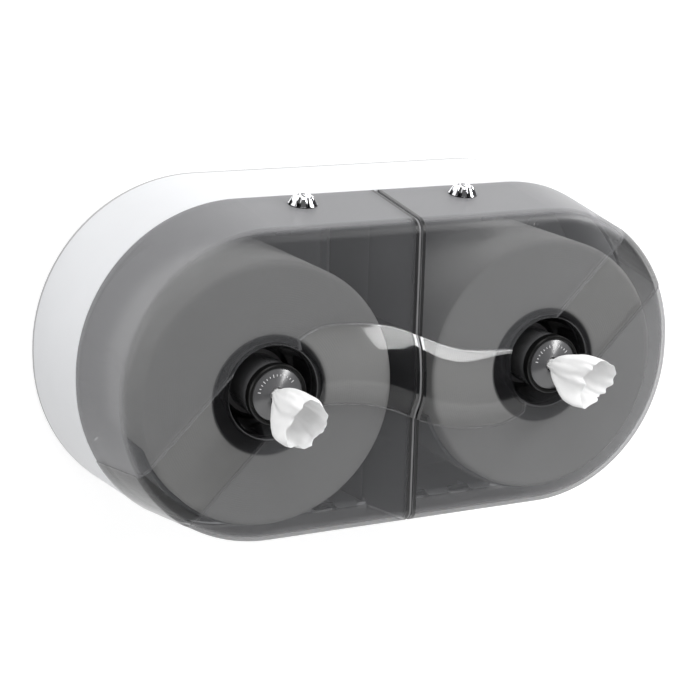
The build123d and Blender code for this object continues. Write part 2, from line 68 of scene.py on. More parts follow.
@dataclass(frozen=True)
class Layout:
    """Places and sizes that the pieces share, in metres, as the CAD has them."""

    bowl_x: float = 0.120
    bowl_z: float = -0.002
    roll_z: float = -0.006
    roll_radius: float = 0.102
    roll_bore: float = 0.045
    roll_back: float = 0.0243
    roll_front: float = 0.1577
    front_depth: float = 0.1645
    disc_depth: float = 0.171
    disc_radius: float = 0.0205
    hole_radius: float = 0.0055
    lock_middle_x: float = -0.0035
    lock_half_spacing: float = 0.070
    lock_depth: float = 0.110

    def bowl_centre(self, side: Side, depth: float) -> Vector:
        """Point on a bowl's axis at a depth in front of the wall."""
        return Vector((side.value * self.bowl_x, -depth, self.bowl_z))

    def roll_centre(self, side: Side, depth: float) -> Vector:
        """Point on a roll's axis at a depth in front of the wall."""
        return Vector((side.value * self.bowl_x, -depth, self.roll_z))


LAYOUT = Layout()


class Graph:
    """Adds nodes to one node tree and joins them up."""

    def __init__(self, tree: bpy.types.NodeTree) -> None:
        self.tree = tree

    def add(self, kind: str, **settings: object) -> bpy.types.Node:
        """Adds a node.

        Args:
            kind: The node's type, without the ShaderNode at its start.
            settings: Attributes to set on it.

        Returns:
            The new node.
        """
        node = self.tree.nodes.new("ShaderNode" + kind)
        for name, value in settings.items():
            setattr(node, name, value)
        return node

    def feed(self, value: Socket | float | Vector | Colour, into: Socket) -> None:
        """Links a socket, or sets a plain value, into an input."""
        if isinstance(value, bpy.types.NodeSocket):
            self.tree.links.new(value, into)
        else:
            into.default_value = value

    def maths(self, operation: str, *values: Socket | float, clamp: bool = False) -> Socket:
        """One step of arithmetic.

        Args:
            operation: Name of the Math node's operation.
            values: Its inputs, sockets or numbers.
            clamp: Whether the result stays from 0 to 1.

        Returns:
            The result's socket.
        """
        node = self.add("Math", operation=operation, use_clamp=clamp)
        for index, value in enumerate(values):
            self.feed(value, node.inputs[index])
        return node.outputs[0]

    def ramp(self, value: Socket, low: float, high: float, start: float = 0.0, end: float = 1.0) -> Socket:
        """A smooth step between two values, carried to a start and an end."""
        node = self.add("MapRange", interpolation_type="SMOOTHSTEP")
        self.feed(value, node.inputs["Value"])
        for name, number in (("From Min", low), ("From Max", high), ("To Min", start), ("To Max", end)):
            node.inputs[name].default_value = number
        return node.outputs["Result"]

    def mix(self, factor: Socket | float, first: Socket | Colour, second: Socket | Colour) -> Socket:
        """Mixes two colours."""
        node = self.add("Mix", data_type="RGBA")
        self.feed(factor, node.inputs["Factor"])
        for value, name in ((first, "A"), (second, "B")):
            socket = [s for s in node.inputs if s.name == name and s.type == "RGBA"][0]
            self.feed(value if isinstance(value, bpy.types.NodeSocket) else (*value, 1.0), socket)
        return [s for s in node.outputs if s.type == "RGBA"][0]

    def place(self) -> Socket:
        """Object coordinates, which are the frame's own."""
        return self.add("TexCoord").outputs["Object"]

    def split(self, vector: Socket) -> tuple[Socket, Socket, Socket]:
        """The three parts of a vector."""
        node = self.add("SeparateXYZ")
        self.feed(vector, node.inputs[0])
        return node.outputs[0], node.outputs[1], node.outputs[2]

    def noise(self, vector: Socket, scale: float, detail: float = 3.0, rough: float = 0.55) -> Socket:
        """A noise texture's value."""
        node = self.add("TexNoise")
        self.feed(vector, node.inputs["Vector"])
        node.inputs["Scale"].default_value = scale
        node.inputs["Detail"].default_value = detail
        node.inputs["Roughness"].default_value = rough
        return node.outputs["Fac"]


class Effects:
    """Node groups for effects that several finishes share, each built once."""

    def __init__(self) -> None:
        self.built: dict[str, bpy.types.NodeTree] = {}

    def group(
        self,
        name: str,
        inputs: dict[str, float],
        outputs: tuple[str, ...],
        wire: Callable[[Graph, dict[str, Socket]], dict[str, Socket]],
    ) -> bpy.types.NodeTree:
        """Makes a group, or gives the one that is there.

        Args:
            name: The group's name.
            inputs: Its number inputs and their defaults, besides Place, the coordinates.
            outputs: Its number outputs.
            wire: Joins the group's inputs to its outputs.

        Returns:
            The group's tree.
        """
        if name in self.built:
            return self.built[name]
        tree = bpy.data.node_groups.new(name, "ShaderNodeTree")
        tree.interface.new_socket("Place", in_out="INPUT", socket_type="NodeSocketVector")
        for key, value in inputs.items():
            socket = tree.interface.new_socket(key, in_out="INPUT", socket_type="NodeSocketFloat")
            socket.default_value = value
        for key in outputs:
            tree.interface.new_socket(key, in_out="OUTPUT", socket_type="NodeSocketFloat")
        graph = Graph(tree)
        entry = tree.nodes.new("NodeGroupInput")
        result = tree.nodes.new("NodeGroupOutput")
        wired = wire(graph, {socket.name: socket for socket in entry.outputs if socket.name})
        for key, socket in wired.items():
            tree.links.new(socket, result.inputs[key])
        self.built[name] = tree
        return tree

    def grain(self) -> bpy.types.NodeTree:
        """Fine moulded grain: a height, and a slow mottle for colour and roughness."""

        def wire(graph: Graph, given: dict[str, Socket]) -> dict[str, Socket]:
            fine = graph.add("TexNoise")
            graph.feed(given["Place"], fine.inputs["Vector"])
            graph.feed(given["Fine Scale"], fine.inputs["Scale"])
            fine.inputs["Detail"].default_value = 2.0
            broad = graph.add("TexNoise")
            graph.feed(given["Place"], broad.inputs["Vector"])
            graph.feed(given["Broad Scale"], broad.inputs["Scale"])
            broad.inputs["Detail"].default_value = 3.0
            height = graph.maths("MULTIPLY", fine.outputs["Fac"], given["Depth"])
            return {"Height": height, "Mottle": broad.outputs["Fac"]}

        inputs = {"Fine Scale": 1400.0, "Broad Scale": 18.0, "Depth": 1.0}
        return self.group("moulded_grain", inputs, ("Height", "Mottle"), wire)

    def zones(self) -> bpy.types.NodeTree:
        """Where a cover is polished: its wave, its arms and its bowl; with masks for its painted highlights and painted
        shade.
        """

        def wire(graph: Graph, given: dict[str, Socket]) -> dict[str, Socket]:
            x, _, z = graph.split(given["Place"])
            x = graph.maths("MULTIPLY", x, 1000.0)
            across = graph.maths("ABSOLUTE", x)
            flip = graph.maths("MULTIPLY", graph.maths("SIGN", x), -1.0)
            rise = graph.maths("MULTIPLY", graph.maths("MULTIPLY_ADD", z, 1000.0, 2.0), flip)

            def edge(shift: float) -> Socket:
                share = graph.maths("DIVIDE", graph.maths("ADD", across, shift), 38.0)
                return graph.maths("MULTIPLY", graph.maths("TANH", share), 17.5)

            fade = graph.maths("POWER", graph.maths("MAXIMUM", graph.maths("SUBTRACT", across, 70.0), 0.0), 2.0)
            upper = graph.maths("ADD", graph.maths("MULTIPLY_ADD", fade, -0.011, 31.0), edge(5.0))
            lower = graph.maths("SUBTRACT", edge(-5.0), 31.0)
            below = graph.maths("SUBTRACT", upper, rise)
            above = graph.maths("SUBTRACT", rise, lower)
            within = graph.maths("SUBTRACT", 100.0, across)
            wave = graph.maths("MINIMUM", graph.maths("MINIMUM", below, above), within)

            turn = math.sqrt(0.5)
            inboard = graph.maths("SUBTRACT", 120.0, across)
            along = graph.maths("MULTIPLY", graph.maths("ADD", inboard, rise), turn)
            beside = graph.maths("MULTIPLY", graph.maths("SUBTRACT", rise, inboard), turn)
            offset = graph.maths("ABSOLUTE", graph.maths("SUBTRACT", beside, 6.7))
            arm = graph.maths("MINIMUM", graph.maths("SUBTRACT", 28.65, offset), graph.maths("MULTIPLY", along, -1.0))

            inside = graph.maths("MAXIMUM", wave, arm)
            polish = graph.ramp(inside, -0.15, 0.15)
            # A thin mask along the edges of the wave and arms, for a painted highlight line.
            crease = graph.ramp(graph.maths("ABSOLUTE", inside), 0.2, 0.9, 1.0, 0.0)
            radius = graph.maths("SQRT", graph.maths("ADD", graph.maths("POWER", inboard, 2.0), graph.maths("POWER", rise, 2.0)))
            # The bowl's inside, polished and darkened as painted shade.
            bowl = graph.ramp(radius, 36.5, 37.2, 1.0, 0.0)
            # A thin ring at the bowl's rim, for a painted highlight.
            lip_highlight = graph.ramp(graph.maths("ABSOLUTE", graph.maths("SUBTRACT", radius, 36.6)), 0.2, 0.8, 1.0, 0.0)
            sideways, _, _ = graph.split(graph.add("NewGeometry").outputs["Normal"])
            outward = graph.ramp(graph.maths("ABSOLUTE", sideways), 0.5, 0.8, 1.0, 0.0)
            # The front near the middle, darkened as painted shade of the gap between the covers.
            seam_shade = graph.maths("MULTIPLY", graph.ramp(across, 4.15, 4.35, 1.0, 0.0), outward)
            return {"Polish": polish, "Crease": crease, "Bowl": bowl, "Lip Highlight": lip_highlight, "Seam": seam_shade}

        return self.group("cover_zones", {}, ("Polish", "Crease", "Bowl", "Lip Highlight", "Seam"), wire)

    def windings(self) -> bpy.types.NodeTree:
        """Layers of tissue round a roll, and a mask inside its bore for painted shade."""

        def wire(graph: Graph, given: dict[str, Socket]) -> dict[str, Socket]:
            x, y, z = graph.split(given["Place"])
            inboard = graph.maths("SUBTRACT", graph.maths("ABSOLUTE", x), LAYOUT.bowl_x)
            rise = graph.maths("SUBTRACT", z, LAYOUT.roll_z)
            radius = graph.maths("SQRT", graph.maths("ADD", graph.maths("POWER", inboard, 2.0), graph.maths("POWER", rise, 2.0)))
            drift = graph.maths("MULTIPLY", graph.noise(given["Place"], 14.0), 0.004)
            turns = graph.maths("MULTIPLY", graph.maths("ADD", radius, drift), given["Turns"])
            layer = graph.maths("MULTIPLY_ADD", graph.maths("SINE", turns), 0.5, 0.5)
            bore = graph.ramp(radius, LAYOUT.roll_bore + 0.0004, LAYOUT.roll_bore + 0.003, 1.0, 0.0)
            return {"Layer": layer, "Bore Shade": bore}

        return self.group("roll_windings", {"Turns": 3600.0}, ("Layer", "Bore Shade"), wire)


EFFECTS = Effects()


@dataclass(frozen=True)
class Finish:
    """A material for one kind of surface, with its constants on the shader itself."""

    name: str
    colour: Colour
    roughness: float
    metallic: float = 0.0
    specular: float = 0.5
    coat: float = 0.0
    sheen: float = 0.0
    grain_scale: float = 1400.0
    grain_depth: float = 0.05
    mottle: float = 0.04

    def build(self) -> bpy.types.Material:
        """Makes the material with its grain, mottle and shader.

        Returns:
            The new material.
        """
        material = bpy.data.materials.new(self.name)
        material.use_nodes = True
        graph = Graph(material.node_tree)
        shader = material.node_tree.nodes["Principled BSDF"]
        shader.inputs["Metallic"].default_value = self.metallic
        shader.inputs["Specular IOR Level"].default_value = self.specular
        shader.inputs["Coat Weight"].default_value = self.coat
        shader.inputs["Coat Roughness"].default_value = 0.05
        shader.inputs["Sheen Weight"].default_value = self.sheen
        self.wire(graph, shader)
        material.diffuse_color = (*self.colour, 1.0)
        return material

    def textured(self, graph: Graph) -> tuple[Socket, Socket, Socket]:
        """Places the grain group with this finish's values.

        Returns:
            The coordinates, the grain's height and the mottle.
        """
        place = graph.place()
        group = graph.add("Group", node_tree=EFFECTS.grain())
        graph.feed(place, group.inputs["Place"])
        group.inputs["Fine Scale"].default_value = self.grain_scale
        return place, group.outputs["Height"], group.outputs["Mottle"]

    def relief(self, graph: Graph, height: Socket, strength: float, distance: float = 0.0002) -> Socket:
        """A bump node's normal for a height."""
        bump = graph.add("Bump")
        bump.inputs["Strength"].default_value = strength
        bump.inputs["Distance"].default_value = distance
        graph.feed(height, bump.inputs["Height"])
        return bump.outputs["Normal"]

    def tinted(self, factor: float) -> Colour:
        """The base colour made darker or lighter by a factor."""
        return tuple(min(1.0, part * factor) for part in self.colour)

    def wire(self, graph: Graph, shader: bpy.types.Node) -> None:
        """Joins the grain and the mottle to the shader."""
        _, height, mottle = self.textured(graph)
        dark = self.tinted(1.0 - self.mottle)
        light = self.tinted(1.0 + self.mottle)
        graph.feed(graph.mix(graph.ramp(mottle, 0.35, 0.65), dark, light), shader.inputs["Base Color"])
        rough = graph.ramp(mottle, 0.3, 0.7, self.roughness * 0.9, self.roughness * 1.12)
        graph.feed(rough, shader.inputs["Roughness"])
        graph.feed(self.relief(graph, height, self.grain_depth), shader.inputs["Normal"])


@dataclass(frozen=True)
class SmokeFinish(Finish):
    """Smoke plastic with a fine frost, polished on its wave, arms and bowl, with a painted sheen at grazing angles,
    painted highlights and painted shade.
    """

    clear: float = 0.66
    polished_clear: float = 0.74
    polished_roughness: float = 0.07
    edge_on_body: float = 0.92
    grazing_sheen: Colour = (0.28, 0.28, 0.29)

    def wire(self, graph: Graph, shader: bpy.types.Node) -> None:
        """Joins the zones to the colour, gloss and see-through of the cover."""
        place, height, mottle = self.textured(graph)
        zones = graph.add("Group", node_tree=EFFECTS.zones())
        graph.feed(place, zones.inputs["Place"])
        polish, bowl, seam_shade = (zones.outputs[name] for name in ("Polish", "Bowl", "Seam"))
        crease, lip_highlight = zones.outputs["Crease"], zones.outputs["Lip Highlight"]

        facing = graph.add("LayerWeight")
        facing.inputs["Blend"].default_value = 0.5
        # Painted sheen: the frost's colour turns a lighter grey towards grazing angles.
        sheen_share = graph.ramp(facing.outputs["Facing"], 0.15, 0.40)
        fleck = graph.ramp(graph.noise(place, 1150.0, 1.0), 0.38, 0.66)
        cloudy = graph.mix(graph.ramp(mottle, 0.3, 0.7), self.tinted(0.94), self.tinted(1.06))
        frosted = graph.mix(sheen_share, cloudy, self.grazing_sheen)
        frosted = graph.mix(graph.maths("MULTIPLY", fleck, 0.3), frosted, self.tinted(3.0))
        colour = graph.mix(polish, frosted, (0.020, 0.020, 0.022))
        # Painted highlight: a light grey line along the edges of the wave and arms.
        colour = graph.mix(graph.maths("MULTIPLY", crease, 0.6), colour, (0.30, 0.30, 0.31))
        # Painted shade: near black in the bowls and along the middle gap.
        dark = graph.maths("MAXIMUM", graph.maths("MULTIPLY", bowl, 0.82), seam_shade)
        colour = graph.mix(dark, colour, (0.008, 0.008, 0.009))
        # Painted highlight: a light grey ring at the bowl's rim.
        colour = graph.mix(graph.maths("MULTIPLY", lip_highlight, 0.6), colour, (0.35, 0.35, 0.36))
        graph.feed(colour, shader.inputs["Base Color"])

        gloss = graph.maths("MAXIMUM", polish, bowl)
        rough = graph.ramp(gloss, 0.0, 1.0, self.roughness, self.polished_roughness)
        graph.feed(rough, shader.inputs["Roughness"])

        edge_on = graph.maths("POWER", facing.outputs["Facing"], 2.0)
        clear = graph.ramp(polish, 0.0, 1.0, self.clear, self.polished_clear)
        clear = graph.maths("SUBTRACT", clear, graph.maths("MULTIPLY", crease, 0.2))
        lost = graph.maths("MULTIPLY", graph.maths("SUBTRACT", clear, 1.0 - self.edge_on_body), edge_on)
        body = graph.maths("ADD", graph.maths("SUBTRACT", 1.0, clear), lost)
        # The painted shade of the bowls and the middle gap is made nearly opaque.
        body = graph.maths("MAXIMUM", body, graph.maths("MULTIPLY", dark, 0.93))
        graph.feed(graph.maths("MINIMUM", body, 1.0), shader.inputs["Alpha"])

        still = graph.maths("SUBTRACT", 1.0, gloss)
        graph.feed(self.relief(graph, graph.maths("MULTIPLY", height, still), self.grain_depth), shader.inputs["Normal"])


@dataclass(frozen=True)
class DiscFinish(Finish):
    """Gloss plastic that falls away from a round crown, so that a lamp shows as a fan."""

    slope: float = 0.54
    crown: float = 6.0 * MM

    def wire(self, graph: Graph, shader: bpy.types.Node) -> None:
        """Joins the mottle and a coned relief to the shader."""
        place, _, mottle = self.textured(graph)
        x, _, z = graph.split(place)
        inboard = graph.maths("SUBTRACT", graph.maths("ABSOLUTE", x), LAYOUT.bowl_x)
        rise = graph.maths("SUBTRACT", z, LAYOUT.bowl_z)
        square = graph.maths("MULTIPLY_ADD", rise, rise, graph.maths("MULTIPLY", inboard, inboard))
        reach = graph.maths("SQRT", graph.maths("ADD", square, self.crown**2))
        cone = graph.maths("MULTIPLY", reach, -self.slope)
        tone = graph.mix(graph.ramp(mottle, 0.35, 0.65), self.tinted(0.96), self.tinted(1.04))
        graph.feed(tone, shader.inputs["Base Color"])
        shader.inputs["Roughness"].default_value = self.roughness
        graph.feed(self.relief(graph, cone, 1.0, 1.0), shader.inputs["Normal"])


@dataclass(frozen=True)
class HousingFinish(Finish):
    """White moulded plastic with a grey line of shade along its back rim."""

    rim_tone: Colour = (0.42, 0.42, 0.43)

    def wire(self, graph: Graph, shader: bpy.types.Node) -> None:
        """Joins the mottle, the rim's shade and the grain to the shader."""
        place, height, mottle = self.textured(graph)
        _, y, _ = graph.split(place)
        tone = graph.mix(graph.ramp(mottle, 0.35, 0.65), self.tinted(1.0 - self.mottle), self.tinted(1.0 + self.mottle))
        _, behind, _ = graph.split(graph.add("NewGeometry").outputs["Normal"])
        beside = graph.ramp(behind, 0.5, 0.8, 1.0, 0.0)
        rim = graph.maths("MULTIPLY", graph.ramp(y, -3.0 * MM, -2.6 * MM), beside)
        graph.feed(graph.mix(rim, tone, self.rim_tone), shader.inputs["Base Color"])
        shader.inputs["Roughness"].default_value = self.roughness
        graph.feed(self.relief(graph, height, self.grain_depth), shader.inputs["Normal"])


@dataclass(frozen=True)
class ChromeFinish(Finish):
    """Polished chrome for the lock bezels, with a painted dark reflection in each flute and dark beyond its foot."""

    flutes: int = 8
    flute_start: float = 8.3 * MM
    foot_start: float = 11.25 * MM
    shade: Colour = (0.02, 0.02, 0.022)

    def wire(self, graph: Graph, shader: bpy.types.Node) -> None:
        """Joins the painted dark reflections of the flutes and the dark of the foot to the shader."""
        place, height, mottle = self.textured(graph)
        x, y, _ = graph.split(place)
        half = graph.maths("MULTIPLY", graph.maths("SIGN", x), LAYOUT.lock_half_spacing)
        right = graph.maths("SUBTRACT", x, graph.maths("ADD", half, LAYOUT.lock_middle_x))
        back = graph.maths("ADD", y, LAYOUT.lock_depth)
        square = graph.maths("MULTIPLY_ADD", right, right, graph.maths("MULTIPLY", back, back))
        radius = graph.maths("SQRT", square)
        turn = graph.maths("MULTIPLY", graph.maths("ARCTAN2", back, right), float(self.flutes))
        # Painted reflection: each flute is darkened as though it mirrored a dark surround.
        flute_reflection = graph.ramp(graph.maths("COSINE", turn), 0.05, 0.35)
        outside = graph.ramp(radius, self.flute_start, self.flute_start + 0.4 * MM)
        foot = graph.ramp(radius, self.foot_start, self.foot_start + 0.15 * MM)
        dark = graph.maths("MAXIMUM", graph.maths("MULTIPLY", flute_reflection, outside), foot)
        tone = graph.mix(graph.ramp(mottle, 0.35, 0.65), self.tinted(1.0 - self.mottle), self.tinted(1.0 + self.mottle))
        graph.feed(graph.mix(dark, tone, self.shade), shader.inputs["Base Color"])
        shader.inputs["Roughness"].default_value = self.roughness
        graph.feed(self.relief(graph, height, self.grain_depth), shader.inputs["Normal"])


@dataclass(frozen=True)
class RollFinish(Finish):
    """Wound tissue: fine layers on the ends and painted shade in the bore."""

    def wire(self, graph: Graph, shader: bpy.types.Node) -> None:
        """Joins the windings to the colour and the relief."""
        place, height, mottle = self.textured(graph)
        wound = graph.add("Group", node_tree=EFFECTS.windings())
        graph.feed(place, wound.inputs["Place"])
        layers = graph.mix(wound.outputs["Layer"], self.tinted(0.93), self.tinted(1.02))
        mottled = graph.mix(graph.ramp(mottle, 0.3, 0.7, 0.0, 0.5), layers, self.tinted(0.95))
        # Painted shade: the bore is dark grey, as the deep hole lies in shade.
        graph.feed(graph.mix(wound.outputs["Bore Shade"], mottled, (0.10, 0.10, 0.105)), shader.inputs["Base Color"])
        shader.inputs["Roughness"].default_value = self.roughness
        total = graph.maths("MULTIPLY_ADD", wound.outputs["Layer"], 0.6, height)
        graph.feed(self.relief(graph, total, self.grain_depth), shader.inputs["Normal"])


@dataclass(frozen=True)
class TissueFinish(Finish):
    """Soft tissue paper with a creped surface that lets some light through."""

    def wire(self, graph: Graph, shader: bpy.types.Node) -> None:
        """Joins the crepe and fibres to the shader."""
        place, height, mottle = self.textured(graph)
        stretch = graph.add("Mapping")
        graph.feed(place, stretch.inputs["Vector"])
        stretch.inputs["Scale"].default_value = (1.0, 1.0, 4.0)
        crepe = graph.noise(stretch.outputs["Vector"], 420.0, 4.0, 0.6)
        graph.feed(graph.mix(graph.ramp(mottle, 0.3, 0.7), self.tinted(0.97), self.tinted(1.02)), shader.inputs["Base Color"])
        shader.inputs["Roughness"].default_value = self.roughness
        shader.inputs["Subsurface Weight"].default_value = 0.25
        shader.inputs["Subsurface Radius"].default_value = (1.0, 1.0, 1.0)
        shader.inputs["Subsurface Scale"].default_value = 0.004
        total = graph.maths("MULTIPLY_ADD", crepe, 1.4, height)
        graph.feed(self.relief(graph, total, self.grain_depth), shader.inputs["Normal"])


class Finishes:
    """Every finish on the dispenser, by the record's material slot."""

    def __init__(self) -> None:
        finishes = (
            HousingFinish("housing_white", (0.80, 0.81, 0.83), 0.32, grain_depth=0.03, mottle=0.01),
            # Painted shade: the divider is white plastic, made grey for the shade in the narrow gap between the covers.
            Finish("divider_grey", (0.24, 0.24, 0.245), 0.4, grain_depth=0.05),
            SmokeFinish("smoke_cover", (0.075, 0.076, 0.08), 0.36, specular=0.8, grain_depth=0.35, grain_scale=1700.0),
            Finish("nozzle_dark", (0.12, 0.12, 0.124), 0.2, coat=0.4, grain_depth=0.02),
            DiscFinish("disc_dark", (0.10, 0.10, 0.104), 0.22, specular=0.9, coat=0.25),
            Finish("ring_rubber", (0.006, 0.006, 0.006), 0.3, specular=0.3, grain_depth=0.08),
            ChromeFinish("lock_chrome", (0.86, 0.86, 0.88), 0.06, metallic=1.0, grain_depth=0.01, mottle=0.02),
            Finish("cam_steel", (0.55, 0.55, 0.57), 0.32, metallic=1.0, grain_scale=900.0),
            Finish("screw_steel", (0.62, 0.62, 0.64), 0.24, metallic=1.0, grain_scale=900.0),
            Finish("cradle_grey", (0.30, 0.31, 0.32), 0.45, grain_depth=0.1),
            RollFinish("tissue", (0.86, 0.86, 0.85), 0.9, sheen=0.2, grain_depth=0.35, grain_scale=700.0),
            TissueFinish("tissue_sheet", (0.95, 0.95, 0.95), 0.85, sheen=0.25, grain_depth=0.3, grain_scale=1500.0),
            Finish("tick_print", (0.72, 0.72, 0.73), 0.4, grain_depth=0.02),
        )
        self.materials = {finish.name: finish.build() for finish in finishes}

    def dress_nodes(self) -> None:
        """Gives every CAD node the material of its slot."""
        slots = {entry["node"]: entry["material_slot"] for entry in frame["record"]["subparts"]}
        for name, piece in frame["nodes"].items():
            piece.data.materials.clear()
            piece.data.materials.append(self.materials[slots[name]])
            for polygon in piece.data.polygons:
                polygon.material_index = 0

    def piece(self, name: str, mesh: bmesh.types.BMesh, slot: str, body: str, finish: str = "") -> bpy.types.Object:
        """Turns a bmesh into a piece that rides on a body.

        Args:
            name: Name of the new object.
            mesh: Its shape, which is freed.
            slot: The record's material slot.
            body: The body that it rides on.
            finish: The material's name, if it isn't the slot's.

        Returns:
            The new object.
        """
        data = bpy.data.meshes.new(name)
        mesh.to_mesh(data)
        mesh.free()
        for polygon in data.polygons:
            polygon.use_smooth = True
        data.materials.append(self.materials[finish or slot])
        made = bpy.data.objects.new(name, data)
        bpy.context.scene.collection.objects.link(made)
        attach(made, body)
        return made


@dataclass
class WoundRoll:
    """A tissue roll whose ends show their layers, in place of the plain ring."""

    side: Side
    edge: float = 1.6 * MM
    steps: int = 22
    uneven: float = 0.25 * MM
    segments: int = 120

    def profile(self) -> list[tuple[float, float]]:
        """Radius and depth of the roll's outline, once round."""
        back, front = LAYOUT.roll_back, LAYOUT.roll_front
        low, high = LAYOUT.roll_bore, LAYOUT.roll_radius
        radii = [low + (high - low) * index / self.steps for index in range(1, self.steps)]
        wobble = [
            self.uneven * (0.5 + 0.5 * noise.noise(Vector((radius * 900.0, self.side.value, 0.0))))
            for radius in radii
        ]
        face = [(radius, front - rise) for radius, rise in zip(radii, wobble)]
        hind = [(radius, back + rise) for radius, rise in zip(radii, wobble)]
        outer = [(high, front - self.edge), (high, (front + back) / 2), (high, back + self.edge)]
        inner = [(low, back + self.edge), (low, (front + back) / 2), (low, front - self.edge)]
        return face + outer + hind[::-1] + inner

    def build(self, finishes: Finishes) -> bpy.types.Object:
        """Spins the outline into a roll.

        Returns:
            The roll's object, which stands for the CAD ring.
        """
        mesh = bmesh.new()
        centre = LAYOUT.roll_centre(self.side, 0.0)
        verts = [mesh.verts.new(centre + Vector((radius, -depth, 0.0))) for radius, depth in self.profile()]
        edges = [mesh.edges.new(pair) for pair in zip(verts, verts[1:] + verts[:1])]
        bmesh.ops.spin(
            mesh,
            geom=verts + edges,
            cent=centre,
            axis=(0.0, 1.0, 0.0),
            angle=math.tau,
            steps=self.segments,
            use_merge=True,
        )
        bmesh.ops.remove_doubles(mesh, verts=mesh.verts, dist=1e-6)
        bmesh.ops.recalc_face_normals(mesh, faces=mesh.faces)
        roll = finishes.piece(f"{self.side.word}_wound_roll", mesh, "tissue", "housing")
        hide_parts(f"{self.side.word}_tissue_roll")
        return roll


@dataclass(frozen=True)
class Station:
    """One ring of a tissue tail, as an offset from the feed hole's mouth."""

    forward: float
    right: float
    rise: float
    wide: float
    tall: float
    fold: float


@dataclass
class TissueTail:
    """A tissue end drawn from the nozzle: gathered in the hole and opening into a cup."""

    side: Side
    stations: tuple[Station, ...]
    mouth_yaw: float
    mouth_pitch: float
    rim: tuple[tuple[float, float, float], ...]
    bulge: tuple[tuple[float, float, float], ...]
    pleats: int = 5
    seed: float = 0.0
    segments: int = 84
    crumple: float = 1.7 * MM
    tear: float = 4.0 * MM
    flat: tuple[float, float] = (0.133, 0.075)
    flat_area: float = 0.0042

    def place(self, step: float) -> tuple[Vector, float, float, float]:
        """Centre, half width, half height and fold depth at a step along the run."""
        last = len(self.stations) - 1
        index = min(int(step), last - 1)
        share = step - index
        rows = [self.stations[min(max(k, 0), last)] for k in (index - 1, index, index + 1, index + 2)]

        def smooth(name: str) -> float:
            before, start, end, after = (getattr(row, name) for row in rows)
            first = 2 * start
            second = (end - before) * share
            third = (2 * before - 5 * start + 4 * end - after) * share**2
            fourth = (3 * start - before - 3 * end + after) * share**3
            return 0.5 * (first + second + third + fourth) * MM

        centre = LAYOUT.bowl_centre(self.side, LAYOUT.disc_depth)
        centre = centre + Vector((smooth("right"), -smooth("forward"), smooth("rise")))
        return centre, smooth("wide"), smooth("tall"), smooth("fold")

    def lobe(self, angle: float, lobes: tuple[tuple[float, float, float], ...]) -> float:
        """How far lobes of an angle, a gain and a spread reach at an angle, as a length."""
        reach = 0.0
        for centre, gain, spread in lobes:
            away = math.remainder(angle - math.radians(centre), math.tau)
            reach += gain * math.exp(-((away / math.radians(spread)) ** 2))
        return reach * MM

    def ring(self, step: float) -> list[Vector]:
        """Points of one ring of the tail."""
        last = len(self.stations) - 1
        centre, wide, tall, fold = self.place(step)
        share = min(1.0, max(0.0, (step - 1.0) / (last - 1.0)))
        yaw = math.radians(self.mouth_yaw) * share
        pitch = math.radians(self.mouth_pitch) * share
        out = Vector((math.sin(yaw) * math.cos(pitch), -math.cos(yaw) * math.cos(pitch), -math.sin(pitch)))
        across = Vector((math.cos(yaw), math.sin(yaw), 0.0))
        up = across.cross(out) * -1.0
        points = []
        for index in range(self.segments):
            angle = math.tau * index / self.segments
            pleat = math.sin(self.pleats * angle + self.seed + 1.5 * share)
            minor = math.sin((2 * self.pleats + 1) * angle + 2.0 * self.seed)
            crease = 1.0 - 2.0 * abs(math.sin(0.5 * (self.pleats + 3) * angle + self.seed))
            swell = fold * (0.45 * pleat + 0.25 * minor + 0.2 * crease)
            swell += self.lobe(angle, self.bulge) * min(1.0, 1.6 * share)
            place = centre + across * (math.cos(angle) * (wide + swell)) + up * (math.sin(angle) * (tall + swell))
            torn = noise.noise(Vector((3.0 * math.cos(angle), 3.0 * math.sin(angle), self.seed)))
            place += out * ((self.lobe(angle, self.rim) + self.tear * torn) * share**3)
            spot = place * 70.0 + Vector((self.seed, 0.0, 0.0))
            coarse = noise.noise_vector(spot)
            finer = noise.noise_vector(spot * 2.7)
            points.append(place + (coarse + finer * 0.5) * (self.crumple * share))
        return points

    def build(self, finishes: Finishes) -> bpy.types.Object:
        """Extrudes the gathered end ring by ring and thickens it.

        Returns:
            The tail's object, which stands for the CAD tail.
        """
        mesh = bmesh.new()
        bmesh.ops.create_circle(mesh, cap_ends=False, radius=1.0, segments=self.segments)
        loop = list(mesh.edges)
        verts = list(mesh.verts)
        last = len(self.stations) - 1
        steps = [index * 0.125 for index in range(last * 8 + 1)]
        for vert, point in zip(verts, self.ring(steps[0])):
            vert.co = point
        for step in steps[1:]:
            grown = bmesh.ops.extrude_edge_only(mesh, edges=loop)["geom"]
            loop = [item for item in grown if isinstance(item, bmesh.types.BMEdge)]
            loop = [edge for edge in loop if all(vert not in verts for vert in edge.verts)]
            paired: list[bmesh.types.BMVert] = []
            for vert in verts:
                links = [edge.other_vert(vert) for edge in vert.link_edges]
                paired.append([other for other in links if any(edge in loop for edge in other.link_edges)][0])
            verts = paired
            for vert, point in zip(verts, self.ring(step)):
                vert.co = point
        bmesh.ops.recalc_face_normals(mesh, faces=mesh.faces)
        tail = finishes.piece(
            f"{self.side.word}_tissue_sheet", mesh, "tissue", f"{self.side.word}_cover", "tissue_sheet"
        )
        wall = tail.modifiers.new("Ply", "SOLIDIFY")
        wall.thickness = 0.22 * MM
        wall.offset = 0.0
        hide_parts(f"{self.side.word}_tissue_tail")
        return tail


